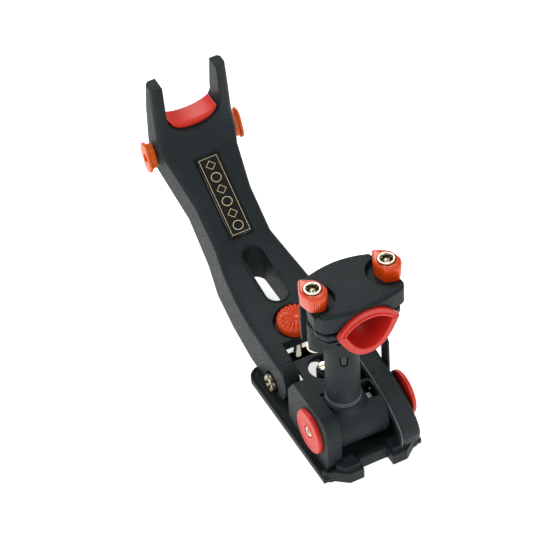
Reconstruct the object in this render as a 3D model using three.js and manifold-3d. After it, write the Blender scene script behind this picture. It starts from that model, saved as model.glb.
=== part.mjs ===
// Boat rod holder: a rod's grip is clamped in a split head on a tilting post, and its
// fore part rests in the fork of a long arm. Millimetres, +Z up, +Y from head to fork,
// origin on the underside of the base plate, below the middle of the plate.
import * as THREE from 'three';
import { mergeVertices } from 'three/addons/utils/BufferGeometryUtils.js';
import Module from 'manifold-3d';

const wasm = await Module();
wasm.setup();

// ---- driving dimensions -------------------------------------------------------------
const GAP = 0.3; // clearance between neighbouring pieces
const RUN = 0.25; // extra clearance of a turning piece
const BASE = { halfW: 44.5, front: -64, back: 72, top: 5, rim: 2.2, rimTop: 6.2, corner: 12 };
const PRONG = { inner: 13, outer: 36, front: -73.6, back: -59, top: 16 };
const CHEEK = { inner: 26, outer: 39, top: 60, back: 5.6, front: -61.8 };
const AXLE = { y: -35.2, z: 33.6, r: 4, capR: 19.2, capT: 3.6 };
const DRUM = { left: -25.4, right: 19.8, r: 22, discR: 10, discOut: 25.5 };
const POST = { x: -9.6, r: 14, foot: 57, top: 119.4, bore: 8 };
const HEAD = {
  halfW: 38.6, front: -62, back: -8, bottom: 120, ears: 130, split: 159, gap: 3, top: 180, shell: 4.5,
};
// Half width, rise and drop of each eye-shaped outline of the rod bore, from the split plane.
const BORE = { inner: [20.4, 9.6, 21.8], tube: [23.6, 13.4, 25.2], flange: [27.2, 17.4, 28.4], flangeT: 3.2 };
const BOLT = { x: 32.4, y: -35.8, r: 4, top: 191.5 };
const RECESS = { r: 17, floor: 175 };
const KNOB = { r: 9.2, front: 13.6, rear: 16.2, top: 191.6, angle: -1.3 };
const LEVER = { in: 20.5, out: 39, thick: 5, pinY: -4, pinZ: 44.5, pinR: 2 };
const LEG = { inner: 20.8, outer: 35.2 };
const NUT = { recessR: 10, sunk: 5, r: 7.8 };
const PIVOT = { y: 42, z: 15.8, r: 4 };
const LUG = { inner: 15.6, outer: 20.4, half: 8 };
// Countersunk screws that hold the cheeks down from below the plate: [end, y].
const CHEEK_SCREW = { x: 32.5, r: 2, headR: 4, headT: 2.2, top: 16, ends: [['front', -48], ['rear', -12]] };
const DIAL = { y: 64, z: 46, r: 16, t: 10.4, hubR: 6, ribs: 22 };
const SCREW = { r: 3.9, tip: 6.9, top: 52 };
const BRIDGE = { y: 16, z: 36, t: 4, holeR: 13.2, halfW: 20.2, bossR: 6.8 };
const FORK = { uHalf: 24.6, uBottom: 128, padFront: 236.5, padBack: 254 };
const SIDE = { y: 243, z: 106, studR: 3, t: 8.6 };
const SLOT = { front: 98, rear: 137, r: 9.4, wall: 3.4, wallLow: 26 };
const PLATE = { mid: [187.4, 87.9], tilt: Math.atan2(43, 66), width: 20.8, length: 73, sunk: 1 };

// ---- materials ----------------------------------------------------------------------
const black = () => new THREE.MeshStandardMaterial({ color: 0x2b3033, roughness: 0.62, metalness: 0 });
const red = () => new THREE.MeshStandardMaterial({ color: 0xe0503a, roughness: 0.55, metalness: 0 });
const orange = () => new THREE.MeshStandardMaterial({ color: 0xe8602a, roughness: 0.35, metalness: 0 });
const steel = () => new THREE.MeshStandardMaterial({ color: 0xb9b4a6, roughness: 0.3, metalness: 1 });
const darkSteel = () => new THREE.MeshStandardMaterial({ color: 0x5a5c5e, roughness: 0.45, metalness: 1 });

// ---- solids -------------------------------------------------------------------------
// A solid is a manifold made from any closed three.js geometry.
function solid(geometry) {
  const bare = geometry.index ? geometry.toNonIndexed() : geometry;
  bare.deleteAttribute('normal');
  bare.deleteAttribute('uv');
  const merged = mergeVertices(bare, 1e-4);
  return new wasm.Manifold(new wasm.Mesh({
    numProp: 3,
    vertProperties: new Float32Array(merged.attributes.position.array),
    triVerts: new Uint32Array(merged.index.array),
  }));
}

function toGeometry(body) {
  const mesh = body.getMesh();
  const geometry = new THREE.BufferGeometry();
  geometry.setAttribute('position', new THREE.BufferAttribute(new Float32Array(mesh.vertProperties), 3));
  geometry.setIndex(new THREE.BufferAttribute(new Uint32Array(mesh.triVerts), 1));
  geometry.computeVertexNormals();
  return geometry;
}

// Maps a shape's own (u, v, extrusion) axes onto the object's axes.
const PLANE = {
  xy: new THREE.Matrix4(),
  yz: new THREE.Matrix4().set(0, 0, 1, 0, 1, 0, 0, 0, 0, 1, 0, 0, 0, 0, 0, 1),
  zx: new THREE.Matrix4().set(0, 1, 0, 0, 0, 0, 1, 0, 1, 0, 0, 0, 0, 0, 0, 1),
};

// A flat outline drawn in one plane and extruded from low to high across it.
function slab(shape, plane, low, high, curveSegments = 8) {
  const options = { depth: high - low, bevelEnabled: false, curveSegments };
  const geometry = new THREE.ExtrudeGeometry(shape, options);
  geometry.translate(0, 0, low);
  return solid(geometry.applyMatrix4(PLANE[plane]));
}

const polygon = (points) => new THREE.Shape(points.map(([u, v]) => new THREE.Vector2(u, v)));

function block(x0, x1, y0, y1, z0, z1) {
  const geometry = new THREE.BoxGeometry(x1 - x0, y1 - y0, z1 - z0);
  return solid(geometry.translate((x0 + x1) / 2, (y0 + y1) / 2, (z0 + z1) / 2));
}

// A turned piece: profile of [radius, height] pairs from the axis back to the axis.
function turned(profile, axis, centre, segments = 32) {
  const geometry = new THREE.LatheGeometry(profile.map(([r, h]) => new THREE.Vector2(r, h)), segments);
  geometry.rotateX(Math.PI / 2); // lathe axis to +Z
  if (axis === 'x') geometry.rotateY(Math.PI / 2);
  if (axis === 'y') geometry.rotateX(-Math.PI / 2);
  return solid(geometry.translate(...centre));
}

const rod = (r, axis, centre, low, high, segments = 28) =>
  turned([[0, low], [r, low], [r, high], [0, high]], axis, centre, segments);

// A plate outline with rounded corners, centred on (cx, cy).
function roundedRect(cx, cy, halfW, halfH, radius) {
  const shape = new THREE.Shape();
  const corners = [[1, -1, -90], [1, 1, 0], [-1, 1, 90], [-1, -1, 180]];
  corners.forEach(([sx, sy, start]) => {
    const from = THREE.MathUtils.degToRad(start);
    const [x, y] = [cx + sx * (halfW - radius), cy + sy * (halfH - radius)];
    shape.absarc(x, y, radius, from, from + Math.PI / 2, false);
  });
  return shape;
}

// A closed skin through rings of equal point counts, capped at both ends.
function loft(rings) {
  const count = rings[0].length;
  const positions = rings.flat(2);
  const index = [];
  for (let r = 0; r < rings.length - 1; r += 1) {
    for (let i = 0; i < count; i += 1) {
      const a = r * count + i;
      const b = r * count + ((i + 1) % count);
      index.push(a, b, b + count, a, b + count, a + count);
    }
  }
  const last = (rings.length - 1) * count;
  for (let i = 1; i < count - 1; i += 1) {
    index.push(0, i + 1, i);
    index.push(last, last + i, last + i + 1);
  }
  const geometry = new THREE.BufferGeometry();
  geometry.setAttribute('position', new THREE.BufferAttribute(new Float32Array(positions), 3));
  geometry.setIndex(index);
  return solid(geometry);
}

const model = new THREE.Group();

function piece(name, body, material) {
  const mesh = new THREE.Mesh(toGeometry(body), material);
  mesh.name = name;
  model.add(mesh);
}

const SIDES = [['left', -1], ['right', 1]];
const between = (a, b) => [Math.min(a, b), Math.max(a, b)];

// The countersunk holes that the cheek screws need, in the plate and in the cheeks.
function cheekScrewHoles() {
  const { x, r, headR, headT, top } = CHEEK_SCREW;
  const profile = [[0, -1], [headR + GAP, -1], [headR + GAP, 0.1], [r + GAP, headT + 0.1],
    [r + GAP, top + GAP], [0, top + GAP]];
  const holes = SIDES.flatMap(([, s]) => CHEEK_SCREW.ends.map(
    ([, y]) => turned(profile, 'z', [s * x, y, 0], 20)));
  return holes.reduce((all, hole) => all.add(hole));
}

// ---- base ---------------------------------------------------------------------------
function basePlate() {
  const midY = (BASE.front + BASE.back) / 2;
  const halfL = (BASE.back - BASE.front) / 2;
  let body = slab(roundedRect(0, midY, BASE.halfW, halfL, BASE.corner), 'xy', 0, BASE.rimTop);
  const inner = roundedRect(0, midY, BASE.halfW - BASE.rim, halfL - BASE.rim, BASE.corner - BASE.rim);
  body = body.subtract(slab(inner, 'xy', BASE.top, BASE.rimTop + 1));
  body = body.add(block(-BASE.halfW, BASE.halfW, BASE.front, BASE.front + 14, 0, BASE.top));
  // square the two front corners, then stand the two front prongs on them
  SIDES.forEach(([, s]) => {
    const outline = polygon([
      [s * PRONG.inner, PRONG.back], [s * PRONG.inner, PRONG.front], [s * (PRONG.outer - 10), PRONG.front],
      [s * PRONG.outer, PRONG.front + 8], [s * (BASE.halfW - 5), BASE.front - 1],
      [s * (BASE.halfW - 1), BASE.front + 3], [s * (BASE.halfW - 1), PRONG.back],
    ]);
    const prong = slab(outline, 'xy', 0, PRONG.top - 5);
    const cap = slab(polygon([
      [s * (PRONG.inner + 2), PRONG.back], [s * (PRONG.inner + 2), PRONG.front + 3],
      [s * (PRONG.outer - 9), PRONG.front + 3], [s * (PRONG.outer - 3), PRONG.front + 9],
      [s * (PRONG.outer - 3), PRONG.back],
    ]), 'xy', 0, PRONG.top);
    const ends = block(...between(s * CHEEK.inner, s * (CHEEK.outer + 1)),
      CHEEK.front - GAP, PRONG.back + 1, BASE.top, 40);
    body = body.add(prong).add(cap.subtract(ends)).subtract(ends);
  });
  body = body.add(block(-PRONG.inner - 1, PRONG.inner + 1, BASE.front, PRONG.back, 0, 12));
  // open notch between the prongs, run under the bar as a keyway for the mounting rail
  body = body.subtract(block(-12, 12, PRONG.front - 1, BASE.front + 0.2, -1, PRONG.top + 1));
  // window under the arm's legs, and the hole of the anchor screw
  body = body.subtract(slab(roundedRect(0, 43.5, 15, 14.5, 6), 'xy', -1, BASE.top + 1));
  body = body.subtract(rod(SCREW.r + GAP, 'z', [0, BRIDGE.y, 0], -1, BASE.top + 1));
  // two lugs between the arm's legs hold its pivot bolt
  const lug = new THREE.Shape();
  lug.moveTo(PIVOT.y - LUG.half, BASE.top - 1);
  lug.lineTo(PIVOT.y + LUG.half, BASE.top - 1);
  lug.absarc(PIVOT.y, PIVOT.z, LUG.half, 0, Math.PI, false);
  SIDES.forEach(([, s]) => {
    body = body.add(slab(lug, 'yz', ...between(s * LUG.inner, s * LUG.outer), 12));
  });
  body = body.subtract(rod(PIVOT.r + 0.05, 'x', [0, PIVOT.y, PIVOT.z], -30, 30));
  return body.subtract(cheekScrewHoles());
}

function cheekOutline() {
  const shape = new THREE.Shape();
  shape.moveTo(CHEEK.back, BASE.top + GAP);
  shape.lineTo(CHEEK.back, 44);
  shape.lineTo(-4, 58.4);
  shape.lineTo(-5.5, CHEEK.top);
  shape.lineTo(-49, CHEEK.top);
  shape.quadraticCurveTo(-60.4, 59, CHEEK.front, 45);
  shape.lineTo(CHEEK.front, 32);
  shape.lineTo(-60.2, BASE.top + GAP);
  return shape;
}

// The lever's crowned top edge, from its tail to its curled lip.
const leverCurve = new THREE.CatmullRomCurve3([
  [2, 57.4], [-7, 55.6], [-26, 53], [-43, 49.4], [-60, 41.6], [-69.4, 34.6], [-74, 26.2], [-73.4, 16],
].map(([y, z]) => new THREE.Vector3(0, y, z)));

// The same edge, moved inwards by a distance along its normal.
function leverEdge(inset, from = 0, to = 1, steps = 22) {
  return Array.from({ length: steps + 1 }, (_, i) => {
    const t = from + (to - from) * (i / steps);
    const point = leverCurve.getPoint(t);
    const tangent = leverCurve.getTangent(t);
    return [point.y - tangent.z * inset, point.z + tangent.y * inset];
  });
}

function rightCheek() {
  const top = leverEdge(LEVER.thick + 1, 0.12, 0.7, 12);
  const outline = polygon([[CHEEK.back, BASE.top + GAP], [CHEEK.back, 43], [0, 48.4], [-4, 49.6], ...top,
    [CHEEK.front, 26], [-60.2, BASE.top + GAP]]);
  const finOutline = [[-18.4, 12], [-8, 12], [-8, 77], [-10, 80], [-16, 80], [-18.4, 77]];
  const fin = slab(polygon(finOutline), 'yz', CHEEK.outer + GAP, CHEEK.outer + 3);
  const root = block(CHEEK.outer - 1, CHEEK.outer + 1, -18.4, -8, 12, 42);
  return slab(outline, 'yz', CHEEK.inner, CHEEK.outer).add(fin).add(root);
}

piece('base_plate', basePlate(), black());
const axleHole = rod(AXLE.r + RUN, 'x', [0, AXLE.y, AXLE.z], -60, 60);
const cheekHoles = axleHole.add(cheekScrewHoles());
piece('left_cheek', slab(cheekOutline(), 'yz', -CHEEK.outer, -CHEEK.inner).subtract(cheekHoles), black());
const pinHole = rod(LEVER.pinR + RUN, 'x', [0, LEVER.pinY, LEVER.pinZ], 0, 60, 20);
piece('right_cheek', rightCheek().subtract(cheekHoles).subtract(pinHole), black());

SIDES.forEach(([side, s]) => CHEEK_SCREW.ends.forEach(([end, y]) => {
  const { x, r, headR, headT, top } = CHEEK_SCREW;
  piece(`${side}_${end}_cheek_screw`, turned([[0, 0.1], [headR, 0.1], [r, headT], [r, top], [0, top]],
    'z', [s * x, y, 0], 20), steel());
}));

// The bridge joins the cheeks' backs and carries a round guard around the anchor boss.
function rearBridge() {
  const { y, z, t, holeR, halfW } = BRIDGE;
  let body = block(-halfW, halfW, -10, y + holeR + 4, z, z + t);
  SIDES.forEach(([, s]) => {
    body = body.add(block(...between(s * (halfW - 3), s * halfW), -10, 15, BASE.top + GAP, z + 1));
  });
  return body.subtract(rod(holeR, 'z', [0, y, 0], z - 1, z + t + 1, 48));
}
piece('rear_bridge', rearBridge(), black());
const bossHeight = BRIDGE.z + 2;
const boss = turned([[0, BASE.top + GAP], [10, BASE.top + GAP],
  [BRIDGE.bossR, BASE.top + 4], [BRIDGE.bossR, bossHeight - 1], [BRIDGE.bossR - 1, bossHeight],
  [0, bossHeight]], 'z', [0, BRIDGE.y, 0]);
piece('anchor_boss', boss.subtract(rod(SCREW.r + GAP, 'z', [0, BRIDGE.y, 0], -1, bossHeight + 1)), black());
const anchor = turned([[0, 0], [SCREW.r, 0], [SCREW.r, bossHeight + GAP], [5.2, bossHeight + GAP],
  [5.2, bossHeight + 2.6], [4.4, bossHeight + 3.4], [0, bossHeight + 3.4]], 'z', [0, BRIDGE.y, 0]);
const crossSlot = block(-5, 5, BRIDGE.y - 0.7, BRIDGE.y + 0.7, bossHeight + 1.8, bossHeight + 4);
piece('anchor_screw', anchor.subtract(crossSlot), steel());

// ---- tilting drum, axle and end caps ------------------------------------------------
piece('pivot_axle', rod(AXLE.r, 'x', [0, AXLE.y, AXLE.z], -CHEEK.outer + 1, CHEEK.outer - 1), steel());
SIDES.forEach(([side, s]) => {
  const start = CHEEK.outer + GAP;
  const rim = start + 1.4;
  const dome = Array.from({ length: 5 }, (_, i) => {
    const a = (i / 4) * (Math.PI / 2);
    return [AXLE.capR - 3.4 + 3.4 * Math.cos(a), rim + (AXLE.capT - 1.4) * Math.sin(a)];
  });
  const clear = side === 'right' ? 3.6 : 0;
  const profile = [[0, start], [AXLE.capR, start], ...dome, [0, start + AXLE.capT]];
  const cap = turned(profile, 'x', [clear, AXLE.y, AXLE.z], 36);
  const well = rod(5.2, 'x', [clear, AXLE.y, AXLE.z], start - 1, start + AXLE.capT + 1, 24);
  const screw = turned([[0, start - GAP + 0.1], [4.9, start - GAP + 0.1], [4.9, start + 3],
    [4.2, start + 3.7], [0, start + 3.7]], 'x', [clear, AXLE.y, AXLE.z], 24);
  const socket = rod(2.2, 'x', [clear, AXLE.y, AXLE.z], start + 1.5, start + 5, 6);
  const place = (body) => (s > 0 ? body : body.mirror([1, 0, 0]));
  piece(`${side}_axle_cap`, place(cap.subtract(well)), red());
  piece(`${side}_axle_screw`, place(screw.subtract(socket)), steel());
});

function drum() {
  let body = rod(DRUM.r, 'x', [0, AXLE.y, AXLE.z], DRUM.left, DRUM.right, 48);
  // the neck under the post, then the pocket beside it
  body = body.add(rod(POST.r + 1.8, 'z', [POST.x, AXLE.y, 0], 44, POST.foot, 40));
  body = body.subtract(block(8.4, DRUM.right - 2.4, AXLE.y - 9, AXLE.y + 9, AXLE.z + 10, 60));
  body = body.subtract(rod(POST.bore + RUN, 'z', [POST.x, AXLE.y, 0], 44, 60));
  return body.subtract(rod(AXLE.r + 0.05, 'x', [0, AXLE.y, AXLE.z], -30, 30));
}
piece('pivot_drum', drum(), black());

// Smooth brake disc on the drum's end, under the lever.
const axleAt = [0, AXLE.y, AXLE.z];
piece('brake_disc', rod(DRUM.discR, 'x', axleAt, DRUM.right + GAP, DRUM.discOut, 36)
  .subtract(rod(AXLE.r + 0.05, 'x', axleAt, 0, 40)), darkSteel());

// ---- post and head ------------------------------------------------------------------
function post() {
  let body = turned([[0, 45], [POST.bore, 45], [POST.bore, POST.foot + GAP], [POST.r + 2, POST.foot + GAP],
    [POST.r + 2, POST.foot + 2], [POST.r, POST.foot + 3], [POST.r, POST.top], [0, POST.top]],
  'z', [POST.x, AXLE.y, 0], 44);
  const keyway = new THREE.Shape();
  keyway.moveTo(-3.2, POST.top + 1);
  keyway.lineTo(-3.2, POST.top - 10);
  keyway.absarc(0, POST.top - 10, 3.2, Math.PI, 2 * Math.PI, false);
  keyway.lineTo(3.2, POST.top + 1);
  const cutter = new THREE.ExtrudeGeometry(keyway, { depth: 6, bevelEnabled: false, curveSegments: 10 });
  cutter.rotateX(Math.PI / 2).translate(0, -POST.r + 3.4, 0).rotateZ(-0.35).translate(POST.x, AXLE.y, 0);
  body = body.subtract(solid(cutter));
  return body;
}
piece('post', post(), black());

function postKey() {
  const shape = new THREE.Shape();
  shape.moveTo(-2.2, POST.top - 0.6);
  shape.lineTo(-2.2, POST.top - 10);
  shape.absarc(0, POST.top - 10, 2.2, Math.PI, 2 * Math.PI, false);
  shape.lineTo(2.2, POST.top - 0.6);
  const key = new THREE.ExtrudeGeometry(shape, { depth: 2.2, bevelEnabled: false, curveSegments: 10 });
  key.rotateX(Math.PI / 2).translate(0, -POST.r + 3, 0).rotateZ(-0.35).translate(POST.x, AXLE.y, 0);
  return solid(key);
}
piece('post_key', postKey(), black());

// Plan of the head, widest at the clamp bolts and bowed at the front and the back.
function headPlan(inset = 0) {
  const w = HEAD.halfW - inset;
  const [front, back] = [HEAD.front + inset, HEAD.back - inset];
  const half = [[w - 2, front + 7], [w + 0.8, front + 12], [w, BOLT.y - 2], [w - 4.4, BOLT.y + 10],
    [w - 9, back - 3.5]];
  const shape = new THREE.Shape();
  shape.moveTo(-half[0][0], half[0][1]);
  shape.quadraticCurveTo(-half[0][0] + 1, front + 3.4, -half[0][0] + 6, front + 2.6);
  shape.quadraticCurveTo(0, front - 5.6, half[0][0] - 6, front + 2.6);
  shape.quadraticCurveTo(half[0][0] - 1, front + 3.4, half[0][0], half[0][1]);
  half.slice(1).forEach(([x, y]) => shape.lineTo(x, y));
  shape.quadraticCurveTo(0, back + 8, -half[4][0], half[4][1]);
  half.slice(1, 4).reverse().forEach(([x, y]) => shape.lineTo(-x, y));
  return shape;
}

// An eye-shaped prism along Y: a flat curve over a deep one, meeting in points at the split plane.
function eye([halfW, rise, drop], low, high) {
  const edge = (height, s) => Array.from({ length: 25 }, (_, i) => {
    const u = s * Math.cos((Math.PI * i) / 24);
    return [HEAD.split + s * height * (1 - Math.abs(u) ** 2.3), halfW * u];
  });
  const outline = [...edge(rise, 1).slice(0, -1), ...edge(drop, -1).slice(0, -1)];
  return slab(polygon(outline), 'zx', low, high);
}
const grow = (outline, by) => outline.map((size) => size + by);

const boltHoles = (r) => SIDES.map(([, s]) => rod(r, 'z', [s * BOLT.x, BOLT.y, 0], 100, 220));
const bores = [eye(grow(BORE.tube, GAP), -80, 20), eye(grow(BORE.flange, GAP), -80, HEAD.front + 0.6)];

function lowerJaw() {
  const top = HEAD.split - HEAD.gap;
  // bolt ears, the shell round the bore, the socket on the post and two band flanges
  let body = slab(roundedRect(0, BOLT.y - 1.6, HEAD.halfW, 8.4, 8), 'xy', HEAD.ears, top);
  const shell = eye(grow(BORE.tube, HEAD.shell), HEAD.front, HEAD.back);
  body = body.add(shell.subtract(block(-40, 40, -90, 20, top, 220)));
  body = body.add(rod(POST.r + 3, 'z', [POST.x, AXLE.y, 0], HEAD.bottom - 0.2, 134, 36));
  body = body.add(slab(headPlan(4.2), 'xy', 143.5, 146.5)).add(slab(headPlan(2.4), 'xy', 150.5, top));
  bores.forEach((bore) => { body = body.subtract(bore); });
  boltHoles(BOLT.r + 0.2).forEach((hole) => { body = body.subtract(hole); });
  // room for the bolt heads beside the socket
  const under = block(-60, 60, -80, 0, 100, HEAD.ears);
  boltHoles(7.2).forEach((room) => { body = body.subtract(room.intersect(under)); });
  return body;
}

function upperJaw() {
  let body = slab(headPlan(), 'xy', HEAD.split + HEAD.gap, HEAD.top - 2)
    .add(slab(headPlan(1.6), 'xy', HEAD.top - 2, HEAD.top));
  bores.forEach((bore) => { body = body.subtract(bore); });
  boltHoles(BOLT.r + 0.5).forEach((hole) => { body = body.subtract(hole); });
  SIDES.forEach(([, s]) => {
    body = body.subtract(rod(RECESS.r, 'z', [s * BOLT.x, BOLT.y, 0], RECESS.floor, HEAD.top + 1, 40));
  });
  return body;
}
piece('lower_jaw', lowerJaw(), black());
piece('upper_jaw', upperJaw(), black());

// The liner is a flanged soft tube split at the rod's axis.
function liner(up) {
  const front = HEAD.front - BORE.flangeT;
  let tube = eye(BORE.tube, front + 1, HEAD.back).add(eye(BORE.flange, front, HEAD.front + GAP));
  tube = tube.subtract(eye(BORE.inner, -90, 20));
  const [low, high] = up ? [HEAD.split + 0.2, 220] : [90, HEAD.split - 0.2];
  return tube.intersect(block(-40, 40, -90, 20, low, high));
}
piece('upper_liner', liner(true), red());
piece('lower_liner', liner(false), red());

function wingKnob(s) {
  const spread = 0.62;
  const [across, along] = [KNOB.r * Math.sin(spread), KNOB.r * Math.cos(spread)];
  const shape = new THREE.Shape();
  shape.absarc(0, 0, KNOB.r, spread, Math.PI - spread, false);
  shape.bezierCurveTo(-KNOB.rear + 1, 3.4, -KNOB.rear + 1, -3.4, -along, -across);
  shape.absarc(0, 0, KNOB.r, Math.PI + spread, 2 * Math.PI - spread, false);
  shape.bezierCurveTo(KNOB.front + 1, -3.4, KNOB.front + 1, 3.4, along, across);
  const options = { depth: KNOB.top - RECESS.floor - 1, bevelEnabled: false, curveSegments: 10 };
  const geometry = new THREE.ExtrudeGeometry(shape, options);
  geometry.rotateZ(KNOB.angle).translate(s * BOLT.x, BOLT.y, RECESS.floor + 1);
  return solid(geometry).subtract(rod(7.4, 'z', [s * BOLT.x, BOLT.y, 0], RECESS.floor, KNOB.top + 1));
}

SIDES.forEach(([side, s]) => {
  const bolt = turned([[0, HEAD.ears - 3.4], [6.8, HEAD.ears - 3.4], [6.8, HEAD.ears - GAP],
    [BOLT.r, HEAD.ears - GAP], [BOLT.r, BOLT.top], [0, BOLT.top]], 'z', [s * BOLT.x, BOLT.y, 0]);
  piece(`${side}_clamp_bolt`, bolt, steel());
  piece(`${side}_wing_knob`, wingKnob(s), orange());
  const bush = turned([[BOLT.r + 0.15, RECESS.floor + 0.4], [7.1, RECESS.floor + 0.4], [7.1, KNOB.top + 1],
    [6.3, KNOB.top + 1.8], [BOLT.r + 0.9, KNOB.top + 1.8], [BOLT.r + 0.15, KNOB.top + 1],
    [BOLT.r + 0.15, RECESS.floor + 0.4]], 'z', [s * BOLT.x, BOLT.y, 0]);
  piece(`${side}_knob_bush`, bush, steel());
});

const backPlate = slab(
  polygon([[104, -28.5], [100, -24], [100, 24], [104, 28.5], [148, 28.5], [148, -28.5]]),
  'zx', HEAD.back + 3.4, HEAD.back + 5.8,
).subtract(eye(grow(BORE.tube, 1), -20, 20));
piece('head_back_plate', backPlate, black());

// ---- lock lever ---------------------------------------------------------------------
function lockLever() {
  const outline = polygon([...leverEdge(0), ...leverEdge(LEVER.thick).reverse()]);
  let body = slab(outline, 'yz', LEVER.in, LEVER.out);
  const knuckle = polygon([[-9, 52], [-9, 44], [-6, 40], [-2, 40], [1, 44], [1, 54]]);
  body = body.add(slab(knuckle, 'yz', LEVER.in, CHEEK.inner - 0.5));
  return body.subtract(rod(LEVER.pinR + 0.05, 'x', [0, LEVER.pinY, LEVER.pinZ], 0, 60, 20));
}
piece('lock_lever', lockLever(), black());
const shoe = new THREE.Shape();
shoe.absarc(AXLE.y, AXLE.z, DRUM.discR + 2.3, 1.35, 2.15, false);
shoe.absarc(AXLE.y, AXLE.z, DRUM.discR + 0.35, 2.15, 1.35, true);
piece('brake_shoe', slab(shoe, 'yz', DRUM.right + 1, CHEEK.inner - 0.6, 8), black());
piece('lever_pin', rod(LEVER.pinR, 'x', [0, LEVER.pinY, LEVER.pinZ], 12, CHEEK.outer - 2, 20), steel());

// ---- arm ----------------------------------------------------------------------------
// Each station: crown point, lower point (both in the YZ plane) and half width.
const ARM = [
  { top: [16, 44.8], low: [16, 9], w: 35.2 },
  { top: [48, 48.4], low: [50, 5.9], w: 35.2 },
  { top: [78, 50.6], low: [80, 6.8], w: 35.2 },
  { top: [105, 54], low: [115, 12], w: 33.6 },
  { top: [133, 59], low: [150, 17], w: 30 },
  { top: [154, 66.2], low: [174, 29], w: 25.8 },
  { top: [187.5, 88], low: [206, 56], w: 26 },
  { top: [220, 109.2], low: [237, 78], w: 31.6 },
  { top: [229, 119], low: [247, 90], w: 35 },
  { top: [233, 131], low: [256.6, 111], w: 35 },
  { top: [235, 152], low: [256, 150], w: 35 },
  { top: [238.2, 178.4], low: [253, 179.2], w: 34.6 },
];

// Cross-section of the arm: flat crown, rounded shoulders, upright sides.
function armRing({ top, low, w }) {
  const depth = Math.hypot(low[0] - top[0], low[1] - top[1]);
  const shoulder = Math.min(6, depth * 0.4);
  const half = [[0, 0], [w - 12, 0.6]];
  for (let i = 0; i <= 4; i += 1) {
    const a = (i / 4) * (Math.PI / 2);
    half.push([w - 6.5 + 6.5 * Math.sin(a), shoulder - (shoulder - 1.4) * Math.cos(a)]);
  }
  half.push([w, depth - 2.5], [w - 2.5, depth]);
  const ring = [...half, ...half.slice(1).reverse().map(([x, d]) => [-x, d])];
  return ring.map(([x, d]) => {
    const t = d / depth;
    return [x, top[0] + (low[0] - top[0]) * t, top[1] + (low[1] - top[1]) * t];
  });
}

function forkGap() {
  const shape = new THREE.Shape(); // u is z, v is x in the zx plane
  const { uHalf, uBottom } = FORK;
  const bend = 15;
  shape.moveTo(200, -uHalf);
  shape.lineTo(200, uHalf);
  shape.lineTo(uBottom + bend, uHalf);
  shape.quadraticCurveTo(uBottom, uHalf * 0.82, uBottom, 0);
  shape.quadraticCurveTo(uBottom, -uHalf * 0.82, uBottom + bend, -uHalf);
  return shape;
}

function slotShape(extra) {
  const shape = new THREE.Shape();
  const r = SLOT.r + extra;
  shape.absarc(0, SLOT.rear, r, 0, Math.PI, false);
  shape.absarc(0, SLOT.front, r, Math.PI, 2 * Math.PI, false);
  return shape;
}

function arm() {
  let body = loft(ARM.map(armRing));
  // gap between the two legs, and the space for the jack screw under the web
  body = body.subtract(block(-LEG.inner, LEG.inner, 0, 48, -5, 80));
  body = body.subtract(block(-LEG.inner, LEG.inner, 47, 84, -5, 38.5));
  // rounded front ends of the legs
  const round = new THREE.Shape();
  round.moveTo(10, 60);
  round.lineTo(30, 60);
  round.lineTo(30, 44.8);
  round.quadraticCurveTo(18.5, 44, 17.6, 30);
  round.quadraticCurveTo(17.6, 14, 27, 9.5);
  round.lineTo(27, 0);
  round.lineTo(10, 0);
  body = body.subtract(slab(round, 'yz', -50, 50));
  // seat of the dial, its hub hole and the open long slot
  body = body.subtract(rod(DIAL.r + 2.6, 'z', [0, DIAL.y, 0], DIAL.z - GAP, 80, 48));
  body = body.subtract(rod(DIAL.hubR + RUN, 'z', [0, DIAL.y, 0], 30, 60));
  body = body.subtract(slab(slotShape(0), 'xy', -5, 90));
  body = body.subtract(slab(forkGap(), 'zx', 200, 280, 20));
  body = body.subtract(rod(PIVOT.r + 0.05, 'x', [0, PIVOT.y, PIVOT.z], -50, 50));
  body = body.subtract(rod(SIDE.studR + 0.2, 'x', [0, SIDE.y, SIDE.z], -50, 50, 20));
  body = body.subtract(rod(NUT.recessR, 'x', [0, PIVOT.y, PIVOT.z], -50, -LEG.outer + NUT.sunk));
  body = body.subtract(plateBox(PLATE.width + 0.8, PLATE.length + 0.8, -PLATE.sunk, 4));
  return body.subtract(cells());
}

// A box lying on the straight stretch of the crown, from low to high above it.
function plateBox(width, length, low, high) {
  const geometry = new THREE.BoxGeometry(width, length, high - low);
  geometry.translate(0, 0, (low + high) / 2).rotateX(PLATE.tilt);
  return solid(geometry.translate(0, PLATE.mid[0], PLATE.mid[1]));
}

// Hollow cells in the underside, with ribs and the slot's sleeve left standing.
function cells() {
  const wall = 4;
  const inner = ARM.slice(2, 8).map(({ top, low, w }) => {
    const depth = Math.hypot(low[0] - top[0], low[1] - top[1]);
    const along = (d) => [0, 1].map((k) => top[k] + (low[k] - top[k]) * (d / depth));
    const [a, b] = [along(5.5), along(depth + 8)];
    return [[-w + wall + 3, a], [w - wall - 3, a], [w - wall, along(9)], [w - wall, b], [-w + wall, b],
      [-w + wall, along(9)]].map(([x, [y, z]]) => [x, y, z]);
  });
  let body = loft(inner);
  body = body.subtract(slab(slotShape(SLOT.wall), 'xy', SLOT.wallLow, 120));
  body = body.subtract(block(-60, 60, 60, 88, -20, 120)).subtract(block(-60, 60, 212, 260, -20, 120));
  body = body.subtract(block(-1.7, 1.7, SLOT.rear, 260, -20, 120));
  for (let y = 108; y < 212; y += 25.5) {
    const low = y < SLOT.rear ? SLOT.wallLow : -20; // short ribs beside the slot
    body = body.subtract(block(-60, 60, y, y + 3, low, 120));
  }
  return body;
}
piece('arm', arm(), black());

// Blank name plate let into the crown of the arm.
piece('name_plate', plateBox(PLATE.width, PLATE.length, -PLATE.sunk + GAP, 0.6), black());

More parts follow.
